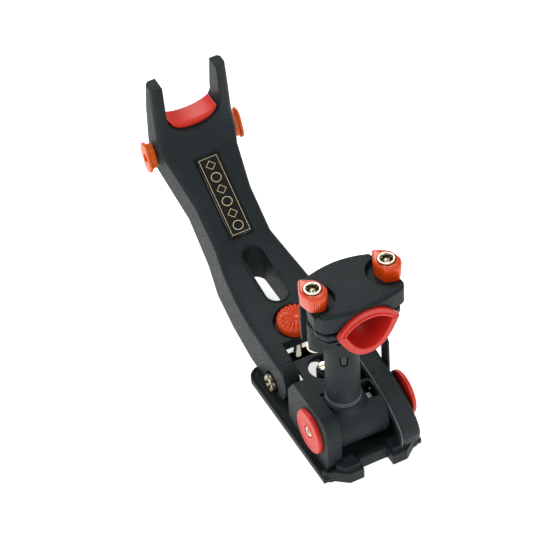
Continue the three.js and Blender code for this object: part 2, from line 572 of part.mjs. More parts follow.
// Soft pad along the bottom of the fork.
function forkPad() {
  const { uHalf, uBottom } = FORK;
  const shape = new THREE.Shape();
  const end = uBottom + 12.4;
  shape.moveTo(end, uHalf - 2.6);
  shape.quadraticCurveTo(uBottom + GAP, uHalf * 0.74, uBottom + GAP, 0);
  shape.quadraticCurveTo(uBottom + GAP, -uHalf * 0.74, end, -uHalf + 2.6);
  shape.quadraticCurveTo(uBottom + 7, -uHalf * 0.55, uBottom + 7, 0);
  shape.quadraticCurveTo(uBottom + 7, uHalf * 0.55, end, uHalf - 2.6);
  return slab(shape, 'zx', FORK.padFront, FORK.padBack, 14);
}
piece('fork_pad', forkPad(), red());

// Through stud and its two wing knobs below the fork.
piece('side_stud', rod(SIDE.studR, 'x', [0, SIDE.y, SIDE.z], -41, 41, 20), steel());
SIDES.forEach(([side, s]) => {
  const shape = new THREE.Shape();
  shape.absarc(0, 0, 6.5, 0.9, Math.PI - 0.9, false);
  shape.quadraticCurveTo(-14, 3, -14, 0);
  shape.quadraticCurveTo(-14, -3, -6.5 * Math.cos(0.9), -6.5 * Math.sin(0.9));
  shape.absarc(0, 0, 6.5, Math.PI + 0.9, 2 * Math.PI - 0.9, false);
  shape.quadraticCurveTo(14, -3, 14, 0);
  shape.quadraticCurveTo(14, 3, 6.5 * Math.cos(0.9), 6.5 * Math.sin(0.9));
  const geometry = new THREE.ExtrudeGeometry(shape, { depth: SIDE.t, bevelEnabled: false, curveSegments: 8 });
  geometry.rotateZ(1.15).applyMatrix4(PLANE.yz).translate(35.5, SIDE.y, SIDE.z);
  const knob = solid(geometry).subtract(rod(SIDE.studR + 0.2, 'x', [0, SIDE.y, SIDE.z], 30, 60, 20));
  piece(`${side}_side_knob`, s > 0 ? knob : knob.mirror([1, 0, 0]), orange());
});

// ---- arm pivot ----------------------------------------------------------------------
const pivotAt = [0, PIVOT.y, PIVOT.z];
const seat = LEG.outer - NUT.sunk;
const shank = PIVOT.r - 0.2;
const stub = turned([[0, LUG.inner - 2.4], [5.6, LUG.inner - 2.4], [5.6, LUG.inner - GAP],
  [shank, LUG.inner - GAP], [shank, seat + 7.6], [0, seat + 7.6]], 'x', pivotAt);
piece('left_pivot_bolt', stub.mirror([1, 0, 0]), steel());
const shouldered = turned([[0, LUG.inner], [shank, LUG.inner], [shank, LEG.outer + 1.6],
  [6.5, LEG.outer + 1.6], [6.5, LEG.outer + 5.4], [5.4, LEG.outer + 6], [0, LEG.outer + 6]], 'x', pivotAt);
piece('right_pivot_bolt', shouldered, steel());
SIDES.forEach(([side, s]) => {
  const face = (s > 0 ? LEG.outer : seat) + GAP;
  const profile = [[PIVOT.r, face], [8.6, face], [8.6, face + 1.1], [PIVOT.r, face + 1.1], [PIVOT.r, face]];
  const washer = turned(profile, 'x', pivotAt, 28);
  piece(`${side}_pivot_washer`, s > 0 ? washer : washer.mirror([1, 0, 0]), steel());
});
function castleNut() {
  const [inner, outer] = [-seat - 1.7, -seat - 8.6];
  let body = rod(NUT.r, 'x', pivotAt, outer, inner, 6);
  for (let i = 0; i < 3; i += 1) {
    const cutter = new THREE.BoxGeometry(3, 20, 2.2).rotateX((i * Math.PI) / 3 + Math.PI / 6);
    body = body.subtract(solid(cutter.translate(outer + 1, PIVOT.y, PIVOT.z)));
  }
  return body.subtract(rod(PIVOT.r, 'x', pivotAt, -60, -20, 24));
}
piece('left_pivot_nut', castleNut(), steel());

// ---- angle adjuster -----------------------------------------------------------------
function dial() {
  const shape = new THREE.Shape();
  const steps = DIAL.ribs * 4;
  for (let i = 0; i < steps; i += 1) {
    const a = (i / steps) * 2 * Math.PI;
    const r = DIAL.r - 0.7 + 0.7 * Math.cos(a * DIAL.ribs);
    if (i === 0) shape.moveTo(r, 0);
    else shape.lineTo(r * Math.cos(a), r * Math.sin(a));
  }
  let body = slab(shape, 'xy', DIAL.z, DIAL.z + DIAL.t).translate([0, DIAL.y, 0]);
  body = body.add(rod(DIAL.hubR, 'z', [0, DIAL.y, 0], 34, DIAL.z + 1));
  return body.subtract(rod(SCREW.r + 0.3, 'z', [0, DIAL.y, 0], 30, DIAL.z + 6.6));
}
piece('angle_dial', dial(), orange());
const ring = [[DIAL.hubR + 0.2, 35], [9, 35], [9, 38], [DIAL.hubR + 0.2, 38], [DIAL.hubR + 0.2, 35]];
piece('dial_retainer', turned(ring, 'z', [0, DIAL.y, 0], 32), darkSteel());
piece('jack_screw', turned([[0, SCREW.tip], [1.8, SCREW.tip + 0.4], [3.2, SCREW.tip + 1.8],
  [SCREW.r, SCREW.tip + 4], [SCREW.r, SCREW.top], [0, SCREW.top]], 'z', [0, DIAL.y, 0], 24), steel());
piece('jack_pad', rod(4.6, 'z', [0, DIAL.y + 1, 0], BASE.top + GAP, BASE.top + 1.5, 28), darkSteel());

export default model;
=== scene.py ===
"""Boat rod holder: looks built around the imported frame, in metres, each piece in the frame's own place."""
import logging
import math
from dataclasses import dataclass, field
from enum import Enum
from typing import Callable, Iterable, Sequence

import bmesh
import bpy
from mathutils import Matrix, Vector
from mathutils.bvhtree import BVHTree


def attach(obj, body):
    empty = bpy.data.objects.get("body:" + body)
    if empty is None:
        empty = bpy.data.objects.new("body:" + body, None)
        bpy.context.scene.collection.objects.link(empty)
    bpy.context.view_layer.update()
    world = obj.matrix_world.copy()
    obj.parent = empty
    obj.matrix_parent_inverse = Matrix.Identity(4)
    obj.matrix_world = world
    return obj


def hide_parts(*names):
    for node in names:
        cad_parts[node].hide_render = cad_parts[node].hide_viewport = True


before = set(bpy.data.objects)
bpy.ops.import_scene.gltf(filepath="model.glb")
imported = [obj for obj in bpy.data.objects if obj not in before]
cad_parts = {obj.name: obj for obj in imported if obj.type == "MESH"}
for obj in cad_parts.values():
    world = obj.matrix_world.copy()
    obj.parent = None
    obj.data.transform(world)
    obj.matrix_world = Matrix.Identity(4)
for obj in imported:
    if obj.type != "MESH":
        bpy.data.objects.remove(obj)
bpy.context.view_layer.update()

MM = 0.001
LOG = logging.getLogger("rod_holder")
Point = tuple[float, float, float]


class Slot(Enum):
    """The record's material slots."""

    NYLON = "moulded_nylon"
    RED = "soft_red"
    ORANGE = "orange_plastic"
    STEEL = "stainless_steel"
    DARK = "dark_steel"


class Body(Enum):
    """The frame's bodies that new pieces ride on."""

    BASE = "base"
    DRUM = "drum"
    POST = "post"
    JAW = "upper_jaw"
    LEFT_WING = "left_wing"
    RIGHT_WING = "right_wing"
    LEVER = "lever"
    ARM = "arm"
    LEFT_SIDE = "left_side_wing"
    RIGHT_SIDE = "right_side_wing"
    DIAL = "dial"


class Grain(Enum):
    """How a surface was made."""

    SPARK = "spark-eroded mould"
    HIDE = "hide-textured mould"
    POLISHED = "polished mould"
    TURNED = "turned and plated"


# ---- finishes -----------------------------------------------------------------------
def linear(colour: str) -> tuple[float, float, float, float]:
    """Turns an sRGB hex colour into linear light.

    Args:
        colour: Six hex digits.

    Returns:
        Red, green, blue and alpha.
    """
    parts = [int(colour[i : i + 2], 16) / 255 for i in (0, 2, 4)]
    red, green, blue = (p / 12.92 if p <= 0.04045 else ((p + 0.055) / 1.055) ** 2.4 for p in parts)
    return (red, green, blue, 1.0)


def add_node(tree: bpy.types.NodeTree, kind: str, settings: dict | None = None,
             links: dict | None = None) -> bpy.types.Node:
    """Adds a shader node.

    Args:
        tree: The node tree.
        kind: The node's type.
        settings: Properties by name, and input values by input name or number.
        links: The socket that feeds each input.

    Returns:
        The new node.
    """
    node = tree.nodes.new(kind)
    for key, value in (settings or {}).items():
        if isinstance(key, str) and hasattr(node, key):
            setattr(node, key, value)
        else:
            node.inputs[key].default_value = value
    for key, socket in (links or {}).items():
        tree.links.new(socket, node.inputs[key])
    return node


@dataclass(frozen=True)
class Finish:
    """One real material and the surface that its making gave it."""

    name: str
    slot: Slot
    grain: Grain
    colour: str
    shade: str
    roughness: float
    spread: float = 0.06
    grain_mm: float = 0.9
    relief_mm: float = 0.05
    metallic: float = 0.0
    ior: float = 1.5
    coat: float = 0.0
    specular: float = 0.5

    def material(self) -> bpy.types.Material:
        """Builds the material, or returns it where it was built before."""
        found = bpy.data.materials.get(self.name)
        if found:
            return found
        made = bpy.data.materials.new(self.name)
        made.use_nodes = True
        tree = made.node_tree
        tree.nodes.clear()
        where = add_node(tree, "ShaderNodeTexCoord")
        shift = {"Rotation": (0.31, 0.47, 0.19), "Location": (0, -0.09, -0.09)}
        centred = add_node(tree, "ShaderNodeMapping", shift, {"Vector": where.outputs["Object"]})
        at = centred.outputs["Vector"]
        # colour wanders over about 25 mm, as pigment does in a thick moulding
        cloud = add_node(tree, "ShaderNodeTexNoise", {"Scale": 1 / 0.025, "Detail": 4.0}, {"Vector": at})
        tones = {"data_type": "RGBA", 6: linear(self.colour), 7: linear(self.shade)}
        mixed = add_node(tree, "ShaderNodeMix", tones, {0: cloud.outputs["Fac"]})
        fine, height = self.relief(tree, at)
        low, high = max(0.05, self.roughness - self.spread), min(1.0, self.roughness + self.spread)
        span = {"From Min": 0.3, "From Max": 0.7, "To Min": low, "To Max": high}
        rough = add_node(tree, "ShaderNodeMapRange", span, {"Value": fine})
        bump = add_node(tree, "ShaderNodeBump", {"Strength": 0.7, "Distance": self.relief_mm * MM},
                        {"Height": height})
        settings = {"Metallic": self.metallic, "Coat Weight": self.coat, "Coat Roughness": 0.12}
        if not self.metallic:
            settings |= {"IOR": self.ior, "Specular IOR Level": self.specular}
        shader = add_node(tree, "ShaderNodeBsdfPrincipled", settings,
                          {"Base Color": mixed.outputs[2], "Roughness": rough.outputs["Result"],
                           "Normal": bump.outputs["Normal"]})
        add_node(tree, "ShaderNodeOutputMaterial", links={"Surface": shader.outputs["BSDF"]})
        return made

    def relief(self, tree: bpy.types.NodeTree, at: bpy.types.NodeSocket) -> tuple:
        """Adds the pattern of the surface.

        Args:
            tree: The node tree.
            at: The place that the pattern is read at.

        Returns:
            The socket that varies the gloss, and the one that is the height.
        """
        scale = 1 / (self.grain_mm * MM)
        if self.grain is Grain.HIDE:
            warp = add_node(tree, "ShaderNodeTexNoise", {"Scale": scale / 2, "Detail": 2.0}, {"Vector": at})
            bent = add_node(tree, "ShaderNodeMix", {"data_type": "VECTOR", 0: self.grain_mm * MM * 0.3},
                            {4: at, 5: warp.outputs["Color"]})
            cells = add_node(tree, "ShaderNodeTexVoronoi", {"feature": "DISTANCE_TO_EDGE", "Scale": scale},
                             {"Vector": bent.outputs[1]})
            folds = add_node(tree, "ShaderNodeMapRange", {"From Max": 0.22, "To Max": 1.0},
                             {"Value": cells.outputs["Distance"]})
            return warp.outputs["Fac"], folds.outputs["Result"]
        detail = {Grain.SPARK: 6.0, Grain.POLISHED: 2.0, Grain.TURNED: 3.0}[self.grain]
        noise = add_node(tree, "ShaderNodeTexNoise", {"Scale": scale, "Detail": detail, "Roughness": 0.6},
                         {"Vector": at})
        return noise.outputs["Fac"], noise.outputs["Fac"]


# Glass-filled nylon: charcoal, dull, with the fine grain that spark erosion leaves in the mould.
# The real grain is near 0.2 mm; it is drawn at 1.5 mm so that it shows.
NYLON = Finish("glass_filled_nylon", Slot.NYLON, Grain.SPARK,
               "2a3133", "1c2224", 0.48, 0.16, 1.5, 0.6, specular=0.14)
# The lever's crown has the pebbled grain that keeps a thumb from slipping, 1.3 mm a cell.
HIDE = Finish("hide_grained_nylon", Slot.NYLON, Grain.HIDE,
              "2c3436", "1c2224", 0.42, 0.12, 1.3, 0.4, specular=0.24)
# Beads that should catch the light: the nylon painted much paler and made smooth, as a painted highlight.
PAINTED_HIGHLIGHT = Finish("painted_highlight_nylon", Slot.NYLON, Grain.POLISHED, "6a7375", "4c5557", 0.3, 0.1, 1.4, 0.05)
# Small inner details and the plaque are polished, so they look blacker and shine.
SMOOTH = Finish("polished_nylon", Slot.NYLON, Grain.POLISHED, "0b0d0e", "070809", 0.2, 0.05, 3.0, 0.02)
# Thermoplastic elastomer: coral red, satin, softly uneven.
ELASTOMER = Finish("red_elastomer", Slot.RED, Grain.POLISHED,
                   "d9311f", "cb2414", 0.42, 0.07, 1.6, 0.05, specular=0.4)
# Inside the mouth the same elastomer is smoother, and it is painted a deeper red as the shade inside the
# mouth.
LINER_PAINTED_SHADE = Finish("liner_painted_shade", Slot.RED, Grain.POLISHED,
               "cf2a1c", "b81d12", 0.38, 0.06, 2.4, 0.04, specular=0.4)
# Acetal knobs: orange-red and glossy, with slight moulding waves.
ACETAL = Finish("orange_acetal", Slot.ORANGE, Grain.POLISHED,
                "e24a0e", "d03a08", 0.25, 0.06, 2.2, 0.06, coat=0.2)
# Polypropylene side knobs: a lighter orange than the acetal.
ORANGE = Finish("light_orange_plastic", Slot.ORANGE, Grain.POLISHED,
                "ef6c12", "e0540a", 0.3, 0.06, 2.2, 0.06)
# Nickel on turned steel: warm and bright.
NICKEL = Finish("nickel_plated_steel", Slot.STEEL, Grain.TURNED,
                "e2dac2", "c2b99f", 0.22, 0.1, 0.5, 0.02, 1.0)
# Blued steel: dull and dark.
BLUED = Finish("blued_steel", Slot.DARK, Grain.TURNED, "5a5c5e", "3c3e40", 0.42, 0.1, 0.6, 0.02, 1.0)
# Hot-stamped foil on the plaque.
GILT = Finish("gilt_foil", Slot.STEEL, Grain.TURNED, "f0e2b8", "e0cf9c", 0.3, 0.08, 0.6, 0.01, 0.35)


# ---- shaping ------------------------------------------------------------------------
def ring(centre: Sequence[float], radius: float | Callable[[float], float], height: float, steps: int,
         axis: str = "z") -> list[Vector]:
    """Gives the points of a closed loop about an axis.

    Args:
        centre: A point on the axis, in millimetres.
        radius: The loop's radius, or a function of the angle.
        height: The loop's place along the axis.
        steps: The number of points.
        axis: The axis, x or z.

    Returns:
        The points, in order.
    """
    out = []
    for i in range(steps):
        a = 2 * math.pi * i / steps
        r = radius(a) if callable(radius) else radius
        u, v = r * math.cos(a), r * math.sin(a)
        if axis == "z":
            out.append(Vector((centre[0] + u, centre[1] + v, centre[2] + height)))
        else:
            out.append(Vector((centre[0] + height, centre[1] + u, centre[2] + v)))
    return out


@dataclass
class Blank:
    """One piece while it is being shaped, in millimetres."""

    name: str
    mesh: bmesh.types.BMesh = field(default_factory=bmesh.new)

    @classmethod
    def of_node(cls, name: str, node: str) -> "Blank":
        """Copies a CAD node, with its vertices merged and its flat faces joined.

        Args:
            name: The new piece's name.
            node: The CAD node.

        Returns:
            The blank.
        """
        blank = cls(name)
        blank.mesh.from_mesh(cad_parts[node].data)
        bmesh.ops.scale(blank.mesh, vec=(1 / MM,) * 3, verts=blank.mesh.verts)
        bmesh.ops.remove_doubles(blank.mesh, verts=blank.mesh.verts, dist=0.004)
        bmesh.ops.dissolve_limit(blank.mesh, angle_limit=math.radians(0.8), verts=blank.mesh.verts,
                                 edges=blank.mesh.edges)
        # a face that bends round a hole is cut into plain ones, so that it doesn't fill the hole
        bmesh.ops.connect_verts_concave(blank.mesh, faces=blank.mesh.faces)
        return blank

    def soften(self, width: float, angle: float = 32, segments: int = 2) -> "Blank":
        """Rounds the sharp edges, as a mould's cutter leaves them.

        Args:
            width: The rounding's width in millimetres.
            angle: The least turn of an edge that counts as sharp, in degrees.
            segments: The number of faces across the rounding.

        Returns:
            The same blank.
        """
        least = math.radians(angle)
        sharp = [e for e in self.mesh.edges if len(e.link_faces) == 2 and e.calc_face_angle(0.0) > least]
        before = BVHTree.FromBMesh(self.mesh)
        low, high = ([pick(v.co[k] for v in self.mesh.verts) for k in range(3)] for pick in (min, max))
        bmesh.ops.bevel(self.mesh, geom=sharp, offset=width, offset_type="OFFSET", segments=segments,
                        profile=0.5, affect="EDGES", clamp_overlap=False, material=-1, loop_slide=True)
        # where two rounded edges meet at a sliver, a corner can overshoot: it goes back to the skin,
        # and no vertex leaves the box that the sharp-edged piece filled
        for vert in self.mesh.verts:
            near, _, _, gap = before.find_nearest(vert.co)
            if gap > 1.02 * width:
                vert.co = near
            vert.co = [min(max(c, a), b) for c, a, b in zip(vert.co, low, high)]
        return self

    def rings(self, loops: Sequence[Sequence[Vector]], closed: bool = False) -> "Blank":
        """Draws a first loop of edges and extrudes it through the others.

        Args:
            loops: The loops, each with the same number of points.
            closed: True where the last loop meets the first; otherwise both ends are capped.

        Returns:
            The same blank.
        """
        bm = self.mesh
        first = list(bmesh.ops.create_circle(bm, segments=len(loops[0]), radius=1.0)["verts"])
        for vert, place in zip(first, loops[0]):
            vert.co = place
        row = list(first)
        for loop in list(loops[1:]) + ([loops[0]] if closed else []):
            links = [next(e for e in row[i].link_edges if e.other_vert(row[i]) is row[(i + 1) % len(row)])
                     for i in range(len(row))]
            grown = bmesh.ops.extrude_edge_only(bm, edges=links)["geom"]
            fresh = [g for g in grown if isinstance(g, bmesh.types.BMVert)]
            near = {v: min(fresh, key=lambda f, v=v: (f.co - v.co).length_squared) for v in row}
            row = [near[v] for v in row]
            for vert, place in zip(row, loop):
                vert.co = place
        if closed:
            bmesh.ops.remove_doubles(bm, verts=first + row, dist=1e-5)
        else:
            for end in (first, row):
                bmesh.ops.contextual_create(bm, geom=end)
        return self

    def turned(self, profile: Sequence[tuple[float, float]], centre: Point, axis: str = "z",
               steps: int = 40) -> "Blank":
        """Spins a profile about an axis.

        Args:
            profile: Radius and height of each point, in order.
            centre: The axis's point that heights are counted from.
            axis: The axis, x or z.
            steps: The number of faces round.

        Returns:
            The same blank.
        """
        bm = self.mesh
        verts = [bm.verts.new((r, 0, h)) for r, h in profile]
        edges = [bm.edges.new(pair) for pair in zip(verts, verts[1:])]
        if profile[0][0] > 1e-6:
            edges.append(bm.edges.new((verts[-1], verts[0])))
        bmesh.ops.spin(bm, geom=verts + edges, cent=(0, 0, 0), axis=(0, 0, 1), angle=2 * math.pi,
                       steps=steps, use_merge=True, use_duplicate=False)
        bmesh.ops.remove_doubles(bm, verts=bm.verts, dist=1e-5)
        turn = Matrix.Rotation(math.pi / 2, 4, "Y") if axis == "x" else Matrix.Identity(4)
        bmesh.ops.transform(bm, matrix=Matrix.Translation(centre) @ turn, verts=bm.verts)
        return self

    def slab(self, outline: Sequence[Sequence[float]], push: Sequence[float]) -> "Blank":
        """Extrudes a flat outline.

        Args:
            outline: The outline's corners, in order.
            push: How far and which way it is extruded.

        Returns:
            The same blank.
        """
        bm = self.mesh
        face = bm.faces.new([bm.verts.new(p) for p in outline])
        grown = bmesh.ops.extrude_face_region(bm, geom=[face])["geom"]
        bmesh.ops.translate(bm, vec=push, verts=[g for g in grown if isinstance(g, bmesh.types.BMVert)])
        return self

    def join(self, other: "Blank") -> "Blank":
        """Takes another blank's shape into this one.

        Args:
            other: The other blank, which is used up.

        Returns:
            This blank.
        """
        spare = bpy.data.meshes.new("spare")
        other.mesh.to_mesh(spare)
        other.mesh.free()
        self.mesh.from_mesh(spare)
        bpy.data.meshes.remove(spare)
        return self

    def mirrored(self, side: int) -> "Blank":
        """Turns a right-hand shape into the left-hand one where it is wanted.

        Args:
            side: -1 for the left hand, 1 for the right.

        Returns:
            The same blank.
        """
        if side < 0:
            bmesh.ops.scale(self.mesh, vec=(-1, 1, 1), verts=self.mesh.verts)
        return self

    def finish(self, look: Finish, body: Body, *replaces: str, smooth: float = 34) -> bpy.types.Object:
        """Makes the finished object.

        Args:
            look: The finish.
            body: The body it rides on.
            *replaces: The CAD nodes it stands for.
            smooth: The least turn of an edge that stays sharp, in degrees.

        Returns:
            The object.
        """
        bm = self.mesh
        bmesh.ops.recalc_face_normals(bm, faces=bm.faces)
        bmesh.ops.scale(bm, vec=(MM,) * 3, verts=bm.verts)
        mesh = bpy.data.meshes.new(self.name)
        bm.to_mesh(mesh)
        bm.free()
        mesh.shade_smooth()
        mesh.set_sharp_from_angle(angle=math.radians(smooth))
        mesh.materials.append(look.material())
        made = bpy.data.objects.new(self.name, mesh)
        bpy.context.scene.collection.objects.link(made)
        weigh = made.modifiers.new("weighted", "WEIGHTED_NORMAL")
        weigh.keep_sharp = True
        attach(made, body.value)
        if replaces:
            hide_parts(*replaces)
        LOG.info("%s: %d faces on %s", self.name, len(mesh.polygons), body.value)
        return made


@dataclass
class Assembly:
    """A group of pieces that are built and dressed together."""

    def dress(self, look: Finish, *nodes: str) -> None:
        """Gives CAD nodes that stay as they are a finish.

        Args:
            look: The finish.
            *nodes: The nodes.
        """
        for node in nodes:
            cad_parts[node].material_slots[0].material = look.material()

    def mould(self, look: Finish, body: Body, width: float, *nodes: str) -> None:
        """Replaces CAD nodes by copies with rounded edges.

        Args:
            look: The finish.
            body: The body they ride on.
            width: The rounding's width in millimetres.
            *nodes: The nodes.
        """
        for node in nodes:
            Blank.of_node(f"{node}_moulding", node).soften(width).finish(look, body, node)


def mouth_lip(name: str, height: float, side: int) -> Blank:
    """Builds the raised lip along one half of the mouth's inner edge.

    Args:
        name: The piece's name.
        height: How far the edge rises or drops from the split plane.
        side: 1 for the upper half, -1 for the lower.

    Returns:
        The blank.
    """
    half_w, split, power, steps = 20.4, 159.0, 2.3, 44
    section = [(0.1, -65.1), (0.1, -65.8), (0.6, -66.1), (1.5, -66.1), (2.0, -65.8), (2.0, -65.1)]
    rows = []
    for i in range(steps + 1):
        u = -math.cos(math.pi * i / steps)
        slope = -height * power * abs(u) ** (power - 1) * (1 if u > 0 else -1) / half_w
        out = Vector((-slope, 0, 1)).normalized()
        place = Vector((half_w * u, 0, height * (1 - abs(u) ** power) + 0.25))
        rows.append([place + out * d + Vector((0, y, 0)) for d, y in section])
    return Blank(name).rings([[Vector((p.x, p.y, split + side * p.z)) for p in row] for row in rows])


@dataclass
class Base(Assembly):
    """Plate with prongs and lugs, two cheeks, bridge, anchor and axle."""

    axle: Point = (0, -35.2, 33.6)
    cap_face: float = 39.3
    cap_radius: float = 19.2
    right_shift: float = 3.6

    def build(self) -> None:
        """Builds and dresses the base."""
        self.mould(NYLON, Body.BASE, 0.7, "base_plate", "left_cheek", "right_cheek", "rear_bridge")
        self.mould(NYLON, Body.BASE, 0.5, "anchor_boss")
        self.mould(NICKEL, Body.BASE, 0.3, "anchor_screw")
        self.dress(NICKEL, "pivot_axle", "lever_pin", *(f"{a}_{b}_cheek_screw" for a in ("left", "right")
                                                       for b in ("front", "rear")))
        self.dress(BLUED, "jack_pad")
        for side, name in ((-1, "left"), (1, "right")):
            self.axle_end(side, name)

    def axle_end(self, side: int, name: str) -> None:
        """Builds the soft cap on an axle's end and the screw in it.

        Args:
            side: -1 on the left, 1 on the right.
            name: The side's name.
        """
        start = self.cap_face + (self.right_shift if side > 0 else 0)
        r = self.cap_radius
        dome = [(r - 1.8 + 1.8 * math.cos(a), 1.8 + 1.8 * math.sin(a)) for a in
                (i * math.pi / 10 for i in range(6))]
        # a flat rim, a shallow dish, and a raised collar round the screw's well
        collar = [(8.6, 2.9), (7.4, 3.4), (6.2, 3.5), (5.5, 3.2), (5.2, 2.6)]
        profile = [(5.2, 0), (r, 0), *dome, (r - 3.6, 3.5), (r - 4.4, 3.05), *collar]
        place = (start, *self.axle[1:])
        cap = Blank(f"{name}_axle_cap_soft").turned(profile, place, "x", 56).mirrored(side)
        cap.finish(ELASTOMER, Body.BASE, f"{name}_axle_cap")
        head = [(0, 0.9), (1.9, 0.9), (2.3, 2.9), (3.9, 3.1), (4.6, 2.5), (4.9, 1.4), (4.9, -0.2), (0, -0.2)]
        screw = Blank(f"{name}_axle_screw_head").turned(head, place, "x", 30).mirrored(side)
        screw.finish(NICKEL, Body.BASE, f"{name}_axle_screw")


@dataclass
class Drum(Assembly):
    """Tilting drum, its pocket and the brake disc."""

    def build(self) -> None:
        """Builds and dresses the drum."""
        self.mould(NYLON, Body.DRUM, 0.6, "pivot_drum")
        self.mould(BLUED, Body.DRUM, 0.4, "brake_disc")
        stop = [(10.2, -40, 43.8), (14.4, -40, 43.8), (14.4, -34, 43.8), (10.2, -34, 43.8)]
        Blank("pocket_stop").slab(stop, (0, 0, 5)).soften(0.4).finish(SMOOTH, Body.DRUM)
        pin = [(0, 0), (1.1, 0), (1.1, 5.6), (0.8, 5.9), (0, 5.9)]
        Blank("pocket_pin").turned(pin, (15.8, -31.4, 43.8), "z", 16).finish(BLUED, Body.DRUM)


@dataclass
class Post(Assembly):
    """Post with its key, lower jaw, liner, clamp bolts and back plate."""

    axis: Point = (-9.6, -35.2, 0)
    bolt: Point = (32.4, -35.8, 0)

    def build(self) -> None:
        """Builds and dresses the post and the lower half of the head."""
        self.mould(NYLON, Body.POST, 0.5, "post", "lower_jaw")
        self.mould(SMOOTH, Body.POST, 0.3, "post_key")
        self.mould(NYLON, Body.POST, 0.4, "head_back_plate")
        # the lower liner is painted a deeper red as shade inside the mouth
        self.mould(LINER_PAINTED_SHADE, Body.POST, 0.5, "lower_liner")
        mouth_lip("lower_lip", 21.8, -1).finish(ELASTOMER, Body.POST)
        # two fine beads round the foot of the post, painted pale as highlights
        for z in (60.4, 62.8):
            bead = [(13.8, z - 0.6), (14.3, z - 0.45), (14.5, z), (14.3, z + 0.45), (13.8, z + 0.6)]
            Blank("foot_bead").turned(bead, (*self.axis[:2], 0), "z", 48).finish(PAINTED_HIGHLIGHT, Body.POST)
        for side, name in ((-1, "left"), (1, "right")):
            self.clamp_bolt(side, name)

    def clamp_bolt(self, side: int, name: str) -> None:
        """Builds a carriage bolt with a rounded, threaded end.

        Args:
            side: -1 on the left, 1 on the right.
            name: The side's name.
        """
        thread = []
        for i in range(9):
            z = 172 + i * 1.25
            thread += [(3.95, z), (3.4, z + 0.62)]
        head = [(0, 126.7), (5.8, 126.7), (6.8, 127.6), (6.8, 129.6), (3.95, 129.7)]
        end = [(3.4, 184.5), (3.3, 189.4), (2.6, 190.5), (1.4, 191.1), (0, 191.3)]
        place = (side * self.bolt[0], self.bolt[1], 0)
        bolt = Blank(f"{name}_carriage_bolt").turned([*head, *thread, *end], place, "z", 28)
        bolt.finish(NICKEL, Body.POST, f"{name}_clamp_bolt")


@dataclass
class Jaw(Assembly):
    """Upper jaw with its liner and the two wing knobs."""

    bolt: Point = (32.4, -35.8, 0)
    floor: float = 176.0
    top: float = 191.6
    angle: float = -1.3
    steps: int = 132
    # the higher, the sharper the corners between facets
    crispness: int = 15
    # facets of the knob's plan: direction in degrees and distance from the bolt
    facets: tuple[tuple[float, float], ...] = (
        (90, 9.6), (-90, 9.6), (38, 11.4), (-38, 11.4), (0, 13.6), (130, 10.9), (-130, 10.9))

    def build(self) -> None:
        """Builds and dresses the upper half of the head."""
        self.mould(NYLON, Body.JAW, 0.9, "upper_jaw")
        # the upper liner is painted a deeper red as shade inside the mouth
        self.mould(LINER_PAINTED_SHADE, Body.JAW, 0.5, "upper_liner")
        mouth_lip("upper_lip", 9.6, 1).finish(ELASTOMER, Body.JAW)
        for side, name, body in ((-1, "left", Body.LEFT_WING), (1, "right", Body.RIGHT_WING)):
            self.wing_knob(side, name, body)

    def plan(self, a: float) -> float:
        """Gives the wing knob's radius at an angle: facets with soft corners, ribbed in front.

        Args:
            a: The angle from the front, in radians.

        Returns:
            The radius in millimetres.
        """
        reach = sum((max(0.0, math.cos(a - math.radians(turn))) / far) ** self.crispness
                    for turn, far in self.facets)
        flute = 0.34 * math.cos(a * 44) if math.cos(a) > 0.72 else 0.0
        return reach ** (-1 / self.crispness) + flute

    def wing_knob(self, side: int, name: str, body: Body) -> None:
        """Builds a wing knob and the plated bush in it.

        Args:
            side: -1 on the left, 1 on the right.
            name: The side's name.
            body: The body it rides on.
        """
        centre = (side * self.bolt[0], self.bolt[1], 0)

        def loop(scale: float, z: float) -> list[Vector]:
            return ring(centre, lambda a: self.plan(a - self.angle) * scale, z, self.steps)

        skirt = [loop(share, self.floor + up) for share, up in ((0.9, 0), (0.95, 0.7), (0.96, 4))]
        crown = [loop(share, self.top - down) for share, down in
                 ((1.0, 5), (0.995, 3), (0.965, 1.5), (0.9, 0.5), (0.82, 0.1))]
        inner = [ring(centre, 7.9, self.top, self.steps), ring(centre, 7.45, self.top - 0.4, self.steps),
                 ring(centre, 7.45, self.floor, self.steps)]
        grip = Blank(f"{name}_wing_grip").rings(skirt + crown + inner, closed=True)
        grip.finish(ACETAL, body, f"{name}_wing_knob")
        bush = [(4.2, 175.5), (7.1, 175.5), (7.1, 192.1), (6.9, 192.6), (6.4, 192.8), (5.6, 192.7),
                (5.1, 192.2), (4.9, 191.2), (4.9, 186), (4.2, 185.6)]
        Blank(f"{name}_bush_ring").turned(bush, centre, "z", 40).finish(NICKEL, body, f"{name}_knob_bush")


